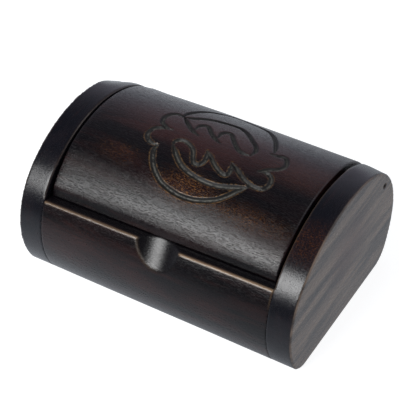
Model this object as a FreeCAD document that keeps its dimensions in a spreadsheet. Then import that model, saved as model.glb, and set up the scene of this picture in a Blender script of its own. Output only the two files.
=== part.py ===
import FreeCAD, Part

import enum
import math
import os

import Sketcher

# A hand-carved wooden box with an oval section and a flat base. The middle is a trough with two
# end cheeks glued to it. A curved lid lies between the cheeks and turns on two steel pins near
# its back edge. +X runs along the box to the right, -Y is the front and the base lies on Z = 0.
# The origin is at the middle of the base. Lengths are in millimetres and angles in degrees.

SIZES = {
    # Outline of the whole box, seen from the end
    "box_length": 152.0,
    "box_depth": 109.0,
    "widest_height": 29.5,
    "shoulder_offset": 13.1,
    "crown_rise": 4.4,
    "side_radius": 47.0,
    "base_corner_radius": 12.7,
    # Cheeks
    "cheek_thickness": 13.0,
    "cheek_edge_radius": 1.8,
    # Trough
    "wall_thickness": 19.5,
    "floor_thickness": 9.0,
    "cavity_corner_radius": 8.0,
    "seat_height": 50.6,
    "seat_rise": 1.9,
    "rim_edge_radius": 1.3,
    "back_lip_drop": 7.0,
    # Thumb notch, a half-round groove cut down through the front rim
    "notch_radius": 18.3,
    "notch_tilt": 48.0,
    "notch_yaw": 6.0,
    "notch_offset": 1.0,
    "notch_depth": 11.8,
    "notch_tool_lead": 14.0,
    "notch_tool_length": 40.0,
    # Lid
    "lid_thickness": 9.5,
    "lid_rise": 1.1,
    "lid_front_radius": 36.0,
    "ledge_width": 4.8,
    "seat_gap": 0.3,
    "left_gap_front": 1.4,
    "left_gap_back": 0.8,
    "right_gap_front": 1.5,
    "right_gap_back": 3.2,
    "lid_edge_radius": 0.8,
    # Hinge
    "pin_diameter": 3.0,
    "pin_inset": 5.4,
    "pin_angle": 40.4,
    "pin_recess": 1.5,
    "pin_reach": 12.0,
    "pin_clearance": 0.05,
    "pin_end_clearance": 1.0,
    "knuckle_radius": 7.0,
    "knuckle_clearance": 0.6,
    # Carved symbol on the lid, its eight main grooves. Each is an arc seen from above, with the
    # place of its centre, the radius of its middle line, and where it starts and how far it goes.
    "groove_width": 3.0,
    "groove_depth": 1.3,
    "upper_ring_x": 2.6,
    "upper_ring_y": 11.0,
    "upper_ring_radius": 26.0,
    "upper_ring_start": 8.0,
    "upper_ring_sweep": 151.0,
    "lower_ring_x": 4.7,
    "lower_ring_y": -2.3,
    "lower_ring_radius": 28.4,
    "lower_ring_start": 208.0,
    "lower_ring_sweep": 122.0,
    "upper_inner_x": 0.0,
    "upper_inner_y": 0.3,
    "upper_inner_radius": 22.6,
    "upper_inner_start": 10.0,
    "upper_inner_sweep": 126.0,
    "lower_inner_x": 11.7,
    "lower_inner_y": 12.8,
    "lower_inner_radius": 33.3,
    "lower_inner_start": 219.0,
    "lower_inner_sweep": 71.0,
    "left_upper_knob_x": -22.3,
    "left_upper_knob_y": 8.1,
    "left_upper_knob_radius": 6.7,
    "left_upper_knob_start": 85.0,
    "left_upper_knob_sweep": 160.0,
    "left_lower_knob_x": -22.9,
    "left_lower_knob_y": -5.0,
    "left_lower_knob_radius": 6.4,
    "left_lower_knob_start": 136.0,
    "left_lower_knob_sweep": 144.0,
    "right_upper_knob_x": 33.7,
    "right_upper_knob_y": 5.9,
    "right_upper_knob_radius": 5.9,
    "right_upper_knob_start": -64.0,
    "right_upper_knob_sweep": 168.0,
    "right_lower_knob_x": 33.6,
    "right_lower_knob_y": -8.5,
    "right_lower_knob_radius": 5.4,
    "right_lower_knob_start": -80.0,
    "right_lower_knob_sweep": 190.0,
    # How far the cutting profiles run past the wood
    "overcut": 10.0,
}

GROOVES = (
    "upper_ring", "lower_ring", "upper_inner", "lower_inner",
    "left_upper_knob", "left_lower_knob", "right_upper_knob", "right_lower_knob",
)

# Places worked out from the driving sizes, as expressions. The outline is a chain of tangent
# arcs: a base corner, a side and a shoulder on each half, and one flatter crown over the top.
SHOULDER_Y = "Sizes.shoulder_offset"
SHOULDER_RADIUS = "(Sizes.box_depth / 2 - Sizes.shoulder_offset)"
SIDE_Y = "(Sizes.box_depth / 2 - Sizes.side_radius)"
CORNER_Y = (
    f"({SIDE_Y} + sqrt((Sizes.side_radius - Sizes.base_corner_radius)^2"
    " - (Sizes.widest_height - Sizes.base_corner_radius)^2))"
)
CROWN_Z = (
    "(Sizes.widest_height"
    " - (Sizes.shoulder_offset^2 - Sizes.crown_rise^2) / (2 * Sizes.crown_rise))"
)
BOX_HEIGHT = f"(Sizes.widest_height + {SHOULDER_RADIUS} + Sizes.crown_rise)"
CAVITY_Y = "(Sizes.box_depth / 2 - Sizes.wall_thickness)"
INNER_X = "(Sizes.box_length / 2 - Sizes.cheek_thickness)"
SEAT_LEFT_Z = "(Sizes.seat_height - Sizes.seat_rise / 2)"
SEAT_RIGHT_Z = "(Sizes.seat_height + Sizes.seat_rise / 2)"
RIM_Y = (
    f"({SHOULDER_Y} + sqrt({SHOULDER_RADIUS}^2"
    " - (Sizes.seat_height - Sizes.widest_height)^2))"
)
LID_FRONT_Y = f"({RIM_Y} - Sizes.ledge_width)"
LID_LOW_Z = "(Sizes.seat_height - Sizes.seat_rise)"
LID_SHOULDER_RADIUS = f"({SHOULDER_RADIUS} + Sizes.lid_rise)"
LID_CROWN_RADIUS = f"({BOX_HEIGHT} + Sizes.lid_rise - {CROWN_Z})"
PIN_Y = f"({SHOULDER_Y} + ({SHOULDER_RADIUS} - Sizes.pin_inset) * cos(Sizes.pin_angle))"
PIN_Z = f"(Sizes.widest_height + ({SHOULDER_RADIUS} - Sizes.pin_inset) * sin(Sizes.pin_angle))"
LIP_Z = f"({PIN_Z} - Sizes.back_lip_drop)"
COVE_RADIUS = "(Sizes.knuckle_radius + Sizes.knuckle_clearance)"
NOTCH_LOW_Z = (
    f"(Sizes.seat_height + Sizes.seat_rise * Sizes.notch_offset / (2 * {INNER_X})"
    " - Sizes.notch_depth)"
)
NOTCH_LOW_Y = (
    f"-({SHOULDER_Y} + sqrt({SHOULDER_RADIUS}^2"
    f" - ({NOTCH_LOW_Z} - Sizes.widest_height)^2))"
)
FAR_Y = "(Sizes.box_depth / 2 + Sizes.overcut)"
HIGH_Z = f"({BOX_HEIGHT} + Sizes.overcut)"


class Spot(enum.IntEnum):
    """The numbers that a sketch gives to the spots on its pieces."""

    START = 1
    END = 2
    CENTRE = 3


class Axis(enum.IntEnum):
    """The numbers that a sketch gives to its own axes."""

    ACROSS = -1
    UP = -2


# How near two lengths must be to count as the same
TOLERANCE = 0.01

document = FreeCAD.newDocument("PivotLidBox")
sheet = document.addObject("Spreadsheet::Sheet", "Sizes")
for row, (alias, size) in enumerate(SIZES.items(), start=1):
    sheet.set(f"A{row}", alias)
    sheet.set(f"B{row}", str(size))
    sheet.setAlias(f"B{row}", alias)
document.recompute()


def value(expression):
    """The number that an expression on the sheet stands for."""
    return float(sheet.evalExpression(expression))


def point(across, up):
    return FreeCAD.Vector(across, up, 0)


def circle_angle(centre, target):
    """The angle of a point seen from a circle's centre."""
    return math.atan2(target[1] - centre[1], target[0] - centre[0])


def circle_meeting(centre_a, radius_a, centre_b, radius_b, side):
    """The point where two circles meet, on the left (1) or right (-1) of the line from a to b."""
    apart = math.dist(centre_a, centre_b)
    along = (radius_a**2 - radius_b**2 + apart**2) / (2 * apart)
    off = side * math.sqrt(radius_a**2 - along**2)
    step = ((centre_b[0] - centre_a[0]) / apart, (centre_b[1] - centre_a[1]) / apart)
    return (
        centre_a[0] + along * step[0] - off * step[1],
        centre_a[1] + along * step[1] + off * step[0],
    )


# Sketch helpers

def new_body(label):
    body = document.addObject("PartDesign::Body", label)
    body.Label = label
    return body


def new_sketch(body, name, plane_role, offset="0"):
    """A sketch on one of the body's own origin planes, moved along the plane's normal."""
    plane = next(item for item in body.Origin.OriginFeatures if item.Role == plane_role)
    sketch = body.newObject("Sketcher::SketchObject", name)
    sketch.AttachmentSupport = [(plane, "")]
    sketch.MapMode = "FlatFace"
    sketch.setExpression("AttachmentOffset.Base.z", offset)
    return sketch


def add_line(sketch, start, end):
    return sketch.addGeometry(Part.LineSegment(point(*start), point(*end)), False)


def add_arc(sketch, centre, radius, from_angle, to_angle):
    circle = Part.Circle(point(*centre), FreeCAD.Vector(0, 0, 1), radius)
    return sketch.addGeometry(Part.ArcOfCircle(circle, from_angle, to_angle), False)


def bind(sketch, expression, kind, *targets):
    """A dimension of the sketch that follows an expression on the sheet."""
    index = sketch.addConstraint(Sketcher.Constraint(kind, *targets, value(expression)))
    sketch.setExpression(f"Constraints[{index}]", expression)


def bind_point(sketch, piece, end, across, up):
    bind(sketch, across, "DistanceX", Axis.ACROSS, Spot.START, piece, end)
    bind(sketch, up, "DistanceY", Axis.ACROSS, Spot.START, piece, end)


def relate(sketch, kind, *targets):
    sketch.addConstraint(Sketcher.Constraint(kind, *targets))


def add_polygon(sketch, corners):
    """A closed run of straight lines whose corners are pairs of expressions."""
    places = [(value(across), value(up)) for across, up in corners]
    sides = []
    for i, place in enumerate(places):
        sides.append(add_line(sketch, place, places[(i + 1) % len(places)]))
    for i, side in enumerate(sides):
        relate(sketch, "Coincident", side, Spot.END, sides[(i + 1) % len(sides)], Spot.START)
        bind_point(sketch, side, Spot.START, *corners[i])


def add_circle(sketch, across, up, radius):
    centre = point(value(across), value(up))
    circle = Part.Circle(centre, FreeCAD.Vector(0, 0, 1), value(radius))
    piece = sketch.addGeometry(circle, False)
    bind_point(sketch, piece, Spot.CENTRE, across, up)
    bind(sketch, radius, "Radius", piece)


# Feature helpers

def pad(body, sketch, name, length, symmetric=False):
    feature = body.newObject("PartDesign::Pad", name)
    feature.Profile = sketch
    feature.setExpression("Length", length)
    if symmetric:
        feature.SideType = "Symmetric"
    document.recompute()
    return feature


def pocket(body, sketch, name, length=None, symmetric=False, reverse=False):
    """A cut of a stated length, or through everything when no length is stated."""
    before = body.Shape.Volume
    feature = body.newObject("PartDesign::Pocket", name)
    feature.Profile = sketch
    feature.Reversed = reverse
    if symmetric:
        feature.SideType = "Symmetric"
    if length is None:
        feature.Type = "ThroughAll"
    else:
        feature.setExpression("Length", length)
    document.recompute()
    if body.Shape.Volume >= before:
        raise RuntimeError(f"{name} cuts nothing")
    return feature


def fillet(body, base, name, edges, radius):
    feature = body.newObject("PartDesign::Fillet", name)
    feature.Base = (base, edges)
    feature.setExpression("Radius", radius)
    document.recompute()
    return feature


def edge_names(shape, test):
    return [f"Edge{i}" for i, edge in enumerate(shape.Edges, start=1) if test(edge)]


def cut(label, base, tool):
    result = document.addObject("Part::Cut", label)
    result.Label = label
    result.Base = base
    result.Tool = tool
    return result


# The oval outline that the cheeks and the trough share

def outline_sketch(body, name, offset="0"):
    sketch = new_sketch(body, name, "YZ_Plane", offset)
    shoulder = (value(SHOULDER_Y), value("Sizes.widest_height"))
    side = (value(SIDE_Y), value("Sizes.widest_height"))
    corner = (value(CORNER_Y), value("Sizes.base_corner_radius"))
    crown = (0.0, value(CROWN_Z))
    side_turn = circle_angle(side, corner)
    crown_turn = circle_angle(crown, shoulder)
    shoulder_radius = value(SHOULDER_RADIUS)
    side_radius = value("Sizes.side_radius")
    corner_radius = value("Sizes.base_corner_radius")
    quarter = math.pi / 2
    half = math.pi

    base = add_line(sketch, (-corner[0], 0), (corner[0], 0))
    back_corner = add_arc(sketch, corner, corner_radius, -quarter, side_turn)
    back_side = add_arc(sketch, side, side_radius, side_turn, 0)
    back_shoulder = add_arc(sketch, shoulder, shoulder_radius, 0, crown_turn)
    crown_radius = value(f"{BOX_HEIGHT} - {CROWN_Z}")
    crown_arc = add_arc(sketch, crown, crown_radius, crown_turn, half - crown_turn)
    mirrored = (-shoulder[0], shoulder[1])
    front_shoulder = add_arc(sketch, mirrored, shoulder_radius, half - crown_turn, half)
    front_side = add_arc(sketch, (-side[0], side[1]), side_radius, half, half - side_turn)
    front_corner = add_arc(sketch, (-corner[0], corner[1]), corner_radius, half - side_turn, 3 * quarter)
    loop = [
        base, back_corner, back_side, back_shoulder,
        crown_arc, front_shoulder, front_side, front_corner,
    ]
    for i, piece in enumerate(loop):
        relate(sketch, "Tangent", piece, Spot.END, loop[(i + 1) % len(loop)], Spot.START)

    relate(sketch, "PointOnObject", base, Spot.START, Axis.ACROSS)
    relate(sketch, "PointOnObject", base, Spot.END, Axis.ACROSS)
    bind(sketch, "Sizes.base_corner_radius", "Radius", back_corner)
    bind(sketch, "Sizes.side_radius", "Radius", back_side)
    bind(sketch, SHOULDER_RADIUS, "Radius", back_shoulder)
    relate(sketch, "Equal", back_corner, front_corner)
    relate(sketch, "Equal", back_side, front_side)
    relate(sketch, "Equal", back_shoulder, front_shoulder)
    bind_point(sketch, back_shoulder, Spot.CENTRE, SHOULDER_Y, "Sizes.widest_height")
    for arc in (back_side, front_shoulder, front_side):
        relate(sketch, "Horizontal", arc, Spot.CENTRE, back_shoulder, Spot.CENTRE)
    relate(sketch, "PointOnObject", crown_arc, Spot.CENTRE, Axis.UP)
    bind(sketch, CROWN_Z, "DistanceY", Axis.ACROSS, Spot.START, crown_arc, Spot.CENTRE)
    return sketch


# Cheeks

def make_cheek(label, outer_x, is_left):
    """An end slab with a rounded outer edge and the hole that grips the hinge pin."""
    body = new_body(label)
    blank = pad(body, outline_sketch(body, label + "_outline", outer_x), label + "_blank",
                "Sizes.cheek_thickness")
    blank.Reversed = not is_left
    document.recompute()
    face_x = value(outer_x)

    def on_outer_face(edge):
        return all(abs(vertex.X - face_x) < TOLERANCE for vertex in edge.Vertexes)

    rounded = fillet(body, blank, label + "_rounding", edge_names(blank.Shape, on_outer_face),
                     "Sizes.cheek_edge_radius")
    hole_sketch = new_sketch(body, label + "_hole_circle", "YZ_Plane", outer_x)
    add_circle(hole_sketch, PIN_Y, PIN_Z, "Sizes.pin_diameter / 2")
    pocket(body, hole_sketch, label + "_hole", reverse=is_left)
    return body


# Trough

def make_trough():
    body = new_body("trough_blank")
    blank = pad(body, outline_sketch(body, "trough_outline"), "trough_length",
                f"2 * {INNER_X}", symmetric=True)

    cavity = new_sketch(body, "cavity_section", "YZ_Plane")
    add_polygon(cavity, [
        (f"-{CAVITY_Y}", "Sizes.floor_thickness"),
        (CAVITY_Y, "Sizes.floor_thickness"),
        (CAVITY_Y, HIGH_Z),
        (f"-{CAVITY_Y}", HIGH_Z),
    ])
    hollow = pocket(body, cavity, "cavity", symmetric=True)
    floor_z = value("Sizes.floor_thickness")

    def at_cavity_floor_corner(edge):
        lows = [vertex.Z for vertex in edge.Vertexes]
        box = edge.BoundBox
        return box.XLength > box.YLength and max(abs(z - floor_z) for z in lows) < TOLERANCE

    hollow = fillet(body, hollow, "cavity_corners", edge_names(hollow.Shape, at_cavity_floor_corner),
                    "Sizes.cavity_corner_radius")

    seat = new_sketch(body, "seat_line", "XZ_Plane")
    add_polygon(seat, [
        (f"-{INNER_X}", SEAT_LEFT_Z),
        (INNER_X, SEAT_RIGHT_Z),
        (INNER_X, HIGH_Z),
        (f"-{INNER_X}", HIGH_Z),
    ])
    seat_cut = pocket(body, seat, "seat", length=FAR_Y, reverse=True)

    back = new_sketch(body, "back_lip_section", "YZ_Plane")
    add_polygon(back, [("0", LIP_Z), (FAR_Y, LIP_Z), (FAR_Y, HIGH_Z), ("0", HIGH_Z)])
    pocket(body, back, "back_lip", symmetric=True)
    cove = new_sketch(body, "cove_circle", "YZ_Plane")
    add_circle(cove, PIN_Y, PIN_Z, COVE_RADIUS)
    cove_cut = pocket(body, cove, "cove", symmetric=True)

    def at_rim(edge):
        box = edge.BoundBox
        middle = edge.CenterOfMass
        at_seat = abs(middle.z - value("Sizes.seat_height")) < value("Sizes.rim_edge_radius")
        return box.XLength > value(INNER_X) and at_seat and middle.y < -value(LID_FRONT_Y)

    fillet(body, cove_cut, "rim_rounding", edge_names(cove_cut.Shape, at_rim), "Sizes.rim_edge_radius")

    return cut("trough", body, make_notch_tool())


def make_notch_tool():
    """The round tool that cuts the thumb notch, touching the front at the notch's lowest point."""
    tilt = math.radians(value("Sizes.notch_tilt"))
    yaw = math.radians(value("Sizes.notch_yaw"))
    inward = FreeCAD.Vector(
        -math.sin(yaw) * math.cos(tilt), math.cos(yaw) * math.cos(tilt), math.sin(tilt)
    )
    upright = FreeCAD.Vector(0, 0, 1) - inward * inward.z
    upright.normalize()
    lowest = FreeCAD.Vector(value("Sizes.notch_offset"), value(NOTCH_LOW_Y), value(NOTCH_LOW_Z))
    start = lowest + upright * value("Sizes.notch_radius") - inward * value("Sizes.notch_tool_lead")

    tool = document.addObject("Part::Cylinder", "notch_tool")
    tool.setExpression("Radius", "Sizes.notch_radius")
    tool.setExpression("Height", "Sizes.notch_tool_length")
    tool.Placement = FreeCAD.Placement(start, FreeCAD.Rotation(FreeCAD.Vector(0, 0, 1), inward))
    return tool


# Lid

def make_lid():
    body = new_body("lid_blank")
    section = lid_section(body)
    pad(body, section, "lid_length", f"2 * {INNER_X}", symmetric=True)

    seat = new_sketch(body, "lid_seat_line", "XZ_Plane")
    low = "Sizes.seat_height - Sizes.seat_rise - Sizes.overcut"
    add_polygon(seat, [
        (f"-{INNER_X}", f"{SEAT_LEFT_Z} + Sizes.seat_gap"),
        (f"-{INNER_X}", low),
        (INNER_X, low),
        (INNER_X, f"{SEAT_RIGHT_Z} + Sizes.seat_gap"),
    ])
    pocket(body, seat, "lid_seat", length=FAR_Y, reverse=True)

    ends = new_sketch(body, "lid_end_lines", "XY_Plane")
    front = "-Sizes.box_depth / 2"
    back = "Sizes.box_depth / 2"
    add_polygon(ends, [
        (f"-{INNER_X}", front),
        (f"-({INNER_X} - Sizes.left_gap_front)", front),
        (f"-({INNER_X} - Sizes.left_gap_back)", back),
        (f"-{INNER_X}", back),
    ])
    add_polygon(ends, [
        (INNER_X, front),
        (INNER_X, back),
        (f"{INNER_X} - Sizes.right_gap_back", back),
        (f"{INNER_X} - Sizes.right_gap_front", front),
    ])
    trimmed = pocket(body, ends, "lid_ends", symmetric=True)
    fillet(body, trimmed, "lid_edges", lid_rim_edges(trimmed.Shape), "Sizes.lid_edge_radius")

    hole_radius = "Sizes.pin_diameter / 2 + Sizes.pin_clearance"
    hole_depth = "Sizes.pin_reach + Sizes.pin_end_clearance"
    left_hole = new_sketch(body, "left_pin_circle", "YZ_Plane", f"-{INNER_X}")
    add_circle(left_hole, PIN_Y, PIN_Z, hole_radius)
    pocket(body, left_hole, "left_pin_hole", length=hole_depth, reverse=True)
    right_hole = new_sketch(body, "right_pin_circle", "YZ_Plane", INNER_X)
    add_circle(right_hole, PIN_Y, PIN_Z, hole_radius)
    pocket(body, right_hole, "right_pin_hole", length=hole_depth)
    return cut("lid", body, make_carving())


def make_carving():
    """The upright tools over the grooves, cut off at the grooves' floor just under the lid's face."""
    tools = document.addObject("Part::Compound", "groove_tools")
    tools.Links = [make_groove_tool(name) for name in GROOVES]
    floor = new_body("groove_floor")
    pad(floor, lid_section(floor), "groove_floor_length", f"2 * {INNER_X}", symmetric=True)
    floor.setExpression("Placement.Base.z", "-Sizes.groove_depth")
    return cut("carving", tools, floor)


def make_groove_tool(name):
    """A piece of an upright tube over one groove."""

    def upright_cylinder(label, radius):
        cylinder = document.addObject("Part::Cylinder", label)
        cylinder.setExpression("Radius", radius)
        cylinder.setExpression("Height", HIGH_Z)
        cylinder.setExpression("Placement.Base.x", f"Sizes.{name}_x")
        cylinder.setExpression("Placement.Base.y", f"Sizes.{name}_y")
        return cylinder

    outside = upright_cylinder(name + "_outside", f"Sizes.{name}_radius + Sizes.groove_width / 2")
    outside.setExpression("Angle", f"Sizes.{name}_sweep")
    outside.setExpression("Placement.Rotation.Angle", f"Sizes.{name}_start")
    inside = upright_cylinder(name + "_inside", f"Sizes.{name}_radius - Sizes.groove_width / 2")
    return cut(name, outside, inside)


def lid_rim_edges(shape):
    """The edges where the lid's outer face meets its two ends and its seat."""
    outer_radii = [
        value(radius) for radius in ("Sizes.lid_front_radius", LID_CROWN_RADIUS, LID_SHOULDER_RADIUS)
    ]

    def is_outer(face):
        curved = isinstance(face.Surface, Part.Cylinder)
        return curved and any(abs(face.Surface.Radius - radius) < TOLERANCE for radius in outer_radii)

    def touches(edge, faces):
        return any(edge.isSame(other) for face in faces for other in face.Edges)

    outer = [face for face in shape.Faces if is_outer(face)]
    flat = [face for face in shape.Faces if isinstance(face.Surface, Part.Plane)]
    return edge_names(shape, lambda edge: touches(edge, outer) and touches(edge, flat))


def lid_section(body):
    """The lid's section: three outer arcs, the round knuckle about the pin and three inner arcs."""
    sketch = new_sketch(body, "lid_section", "YZ_Plane")
    thickness = value("Sizes.lid_thickness")
    shoulder = (value(SHOULDER_Y), value("Sizes.widest_height"))
    shoulder_radius = value(LID_SHOULDER_RADIUS)
    crown = (0.0, value(CROWN_Z))
    crown_radius = value(LID_CROWN_RADIUS)
    knuckle = (value(PIN_Y), value(PIN_Z))
    knuckle_radius = value("Sizes.knuckle_radius")
    front_radius = value("Sizes.lid_front_radius")
    front_edge = (-value(LID_FRONT_Y), value("Sizes.seat_height"))
    front = circle_meeting(front_edge, front_radius, crown, crown_radius - front_radius, 1)
    low = value(LID_LOW_Z)

    def down_to_low(radius):
        drop = front[1] - low
        return (front[0] - math.sqrt(radius**2 - drop**2), low)

    outer_low = down_to_low(front_radius)
    inner_low = down_to_low(front_radius - thickness)
    outer_knuckle = circle_meeting(knuckle, knuckle_radius, shoulder, shoulder_radius, 1)
    inner_knuckle = circle_meeting(knuckle, knuckle_radius, shoulder, shoulder_radius - thickness, 1)
    crown_turn = circle_angle(crown, shoulder)
    front_turn = circle_angle(crown, front)

    bottom = add_line(sketch, outer_low, inner_low)
    inner_front = add_arc(sketch, front, front_radius - thickness, front_turn,
                          circle_angle(front, inner_low) % (2 * math.pi))
    inner_crown = add_arc(sketch, crown, crown_radius - thickness, crown_turn, front_turn)
    inner_shoulder = add_arc(sketch, shoulder, shoulder_radius - thickness,
                             circle_angle(shoulder, inner_knuckle), crown_turn)
    knuckle_arc = add_arc(sketch, knuckle, knuckle_radius, circle_angle(knuckle, inner_knuckle),
                          circle_angle(knuckle, outer_knuckle))
    outer_shoulder = add_arc(sketch, shoulder, shoulder_radius,
                             circle_angle(shoulder, outer_knuckle), crown_turn)
    outer_crown = add_arc(sketch, crown, crown_radius, crown_turn, front_turn)
    outer_front = add_arc(sketch, front, front_radius, front_turn,
                          circle_angle(front, outer_low) % (2 * math.pi))

    relate(sketch, "Coincident", bottom, Spot.START, outer_front, Spot.END)
    relate(sketch, "Coincident", bottom, Spot.END, inner_front, Spot.END)
    relate(sketch, "Tangent", inner_front, Spot.START, inner_crown, Spot.END)
    relate(sketch, "Tangent", inner_crown, Spot.START, inner_shoulder, Spot.END)
    relate(sketch, "Coincident", inner_shoulder, Spot.START, knuckle_arc, Spot.START)
    relate(sketch, "Coincident", knuckle_arc, Spot.END, outer_shoulder, Spot.START)
    relate(sketch, "Tangent", outer_shoulder, Spot.END, outer_crown, Spot.START)
    relate(sketch, "Tangent", outer_crown, Spot.END, outer_front, Spot.START)
    relate(sketch, "Coincident", inner_front, Spot.CENTRE, outer_front, Spot.CENTRE)
    relate(sketch, "Coincident", inner_shoulder, Spot.CENTRE, outer_shoulder, Spot.CENTRE)
    relate(sketch, "Coincident", inner_crown, Spot.CENTRE, outer_crown, Spot.CENTRE)
    relate(sketch, "Horizontal", bottom)

    bind_point(sketch, outer_shoulder, Spot.CENTRE, SHOULDER_Y, "Sizes.widest_height")
    bind(sketch, LID_SHOULDER_RADIUS, "Radius", outer_shoulder)
    bind(sketch, f"{LID_SHOULDER_RADIUS} - Sizes.lid_thickness", "Radius", inner_shoulder)
    relate(sketch, "PointOnObject", outer_crown, Spot.CENTRE, Axis.UP)
    bind(sketch, CROWN_Z, "DistanceY", Axis.ACROSS, Spot.START, outer_crown, Spot.CENTRE)
    bind_point(sketch, knuckle_arc, Spot.CENTRE, PIN_Y, PIN_Z)
    bind(sketch, "Sizes.knuckle_radius", "Radius", knuckle_arc)
    bind(sketch, "Sizes.lid_front_radius", "Radius", outer_front)
    bind(sketch, LID_LOW_Z, "DistanceY", Axis.ACROSS, Spot.START, bottom, Spot.START)
    lip = sketch.addGeometry(Part.Point(point(*front_edge)), True)
    relate(sketch, "PointOnObject", lip, Spot.START, outer_front)
    bind_point(sketch, lip, Spot.START, f"-{LID_FRONT_Y}", "Sizes.seat_height")
    return sketch


# Hinge pins

def make_pin(label, outer_end_x):
    """A plain steel pin, pressed into the cheek, that the lid turns on."""
    pin = document.addObject("Part::Cylinder", label)
    pin.Label = label
    pin.setExpression("Radius", "Sizes.pin_diameter / 2")
    pin.setExpression("Height", "Sizes.cheek_thickness - Sizes.pin_recess + Sizes.pin_reach")
    along_x = FreeCAD.Rotation(FreeCAD.Vector(0, 1, 0), 90)
    pin.Placement = FreeCAD.Placement(FreeCAD.Vector(0, 0, 0), along_x)
    pin.setExpression("Placement.Base.x", outer_end_x)
    pin.setExpression("Placement.Base.y", PIN_Y)
    pin.setExpression("Placement.Base.z", PIN_Z)
    return pin


pieces = [
    make_trough(),
    make_cheek("left_cheek", "-Sizes.box_length / 2", is_left=True),
    make_cheek("right_cheek", "Sizes.box_length / 2", is_left=False),
    make_lid(),
    make_pin("left_hinge_pin", "-(Sizes.box_length / 2 - Sizes.pin_recess)"),
    make_pin("right_hinge_pin", f"{INNER_X} - Sizes.pin_reach"),
]
document.recompute()

for item in document.Objects:
    if "Invalid" in item.State or "Error" in item.State:
        raise RuntimeError(f"{item.Label} failed: {item.State}")
for piece in pieces:
    if piece.Shape.isNull() or not piece.Shape.isValid() or len(piece.Shape.Solids) != 1:
        raise RuntimeError(f"{piece.Label} is not one valid solid")

os.makedirs("parts", exist_ok=True)
for piece in pieces:
    piece.Shape.exportStep(f"parts/{piece.Label}.step")
    print(piece.Label, round(piece.Shape.Volume), piece.Shape.BoundBox)
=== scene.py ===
import math

import bmesh
import bpy
import numpy as np
from mathutils import Matrix, Vector


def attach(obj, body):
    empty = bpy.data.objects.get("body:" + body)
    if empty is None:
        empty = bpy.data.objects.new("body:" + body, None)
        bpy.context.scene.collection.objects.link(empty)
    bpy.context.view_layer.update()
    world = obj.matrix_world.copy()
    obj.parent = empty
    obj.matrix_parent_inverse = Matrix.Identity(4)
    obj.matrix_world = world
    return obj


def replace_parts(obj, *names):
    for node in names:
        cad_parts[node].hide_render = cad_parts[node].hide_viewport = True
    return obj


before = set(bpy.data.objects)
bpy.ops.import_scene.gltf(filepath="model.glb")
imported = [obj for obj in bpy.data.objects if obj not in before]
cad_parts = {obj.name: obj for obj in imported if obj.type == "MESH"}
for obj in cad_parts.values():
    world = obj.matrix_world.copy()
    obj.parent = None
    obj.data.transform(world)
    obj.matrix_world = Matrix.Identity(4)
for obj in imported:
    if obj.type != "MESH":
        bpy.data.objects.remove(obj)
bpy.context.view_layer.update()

# Lengths are in millimetres up to the last step of each mesh, where MM turns them into metres.
# Places in a section are (y, z), and arcs are (y, z, radius).
MM = 0.001


def meeting(a, b, side):
    """Where two circles cross, on one side (1 or -1) of the way from a's centre to b's."""
    run, rise = b[0] - a[0], b[1] - a[1]
    apart = math.hypot(run, rise)
    along = (apart**2 + a[2] ** 2 - b[2] ** 2) / (2 * apart)
    across = side * math.sqrt(a[2] ** 2 - along**2)
    return (
        a[0] + (along * run - across * rise) / apart,
        a[1] + (along * rise + across * run) / apart,
    )


# ---------------------------------------------------------------- sizes of the box

BOX_LENGTH = 152.0
BOX_DEPTH = 109.0
WIDEST_Z = 29.5
SHOULDER_Y = 13.1
SHOULDER_RADIUS = BOX_DEPTH / 2 - SHOULDER_Y
CROWN_RISE = 4.4
SIDE_RADIUS = 47.0
CORNER_RADIUS = 12.7
CHEEK_THICKNESS = 13.0
SEAT_Z = 50.6
SEAT_RISE = 1.9

# The box's outline, seen from the end, as its arcs for y >= 0
SHOULDER = (SHOULDER_Y, WIDEST_Z, SHOULDER_RADIUS)
BOX_TOP = WIDEST_Z + SHOULDER_RADIUS + CROWN_RISE
CROWN_Z = WIDEST_Z - (SHOULDER_Y**2 - CROWN_RISE**2) / (2 * CROWN_RISE)
CROWN = (0.0, CROWN_Z, BOX_TOP - CROWN_Z)
SIDE = (BOX_DEPTH / 2 - SIDE_RADIUS, WIDEST_Z, SIDE_RADIUS)
CORNER_RUN = math.sqrt((SIDE_RADIUS - CORNER_RADIUS) ** 2 - (WIDEST_Z - CORNER_RADIUS) ** 2)
CORNER = (SIDE[0] + CORNER_RUN, CORNER_RADIUS, CORNER_RADIUS)

# Trough, cheeks and hinge pins
OUTER_X = BOX_LENGTH / 2
INNER_X = OUTER_X - CHEEK_THICKNESS
SEAT_SLOPE = SEAT_RISE / (2 * INNER_X)
PIN_ANGLE = math.radians(40.4)
PIN_REACH = SHOULDER_RADIUS - 5.4
PIN_PLACE = (SHOULDER_Y + PIN_REACH * math.cos(PIN_ANGLE), WIDEST_Z + PIN_REACH * math.sin(PIN_ANGLE))
PIN_RADIUS = 1.5
BACK_LIP_Z = PIN_PLACE[1] - 7.0
CAVITY_HALF = BOX_DEPTH / 2 - 19.5
CAVITY_FLOOR = 9.0
CAVITY_CORNER = 8.0
KNUCKLE = (*PIN_PLACE, 7.0)
COVE = (*PIN_PLACE, 7.6)
# Points with y beyond this are in the front wall, where the notch and the ledge are
FRONT_WALL_Y = -38

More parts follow.
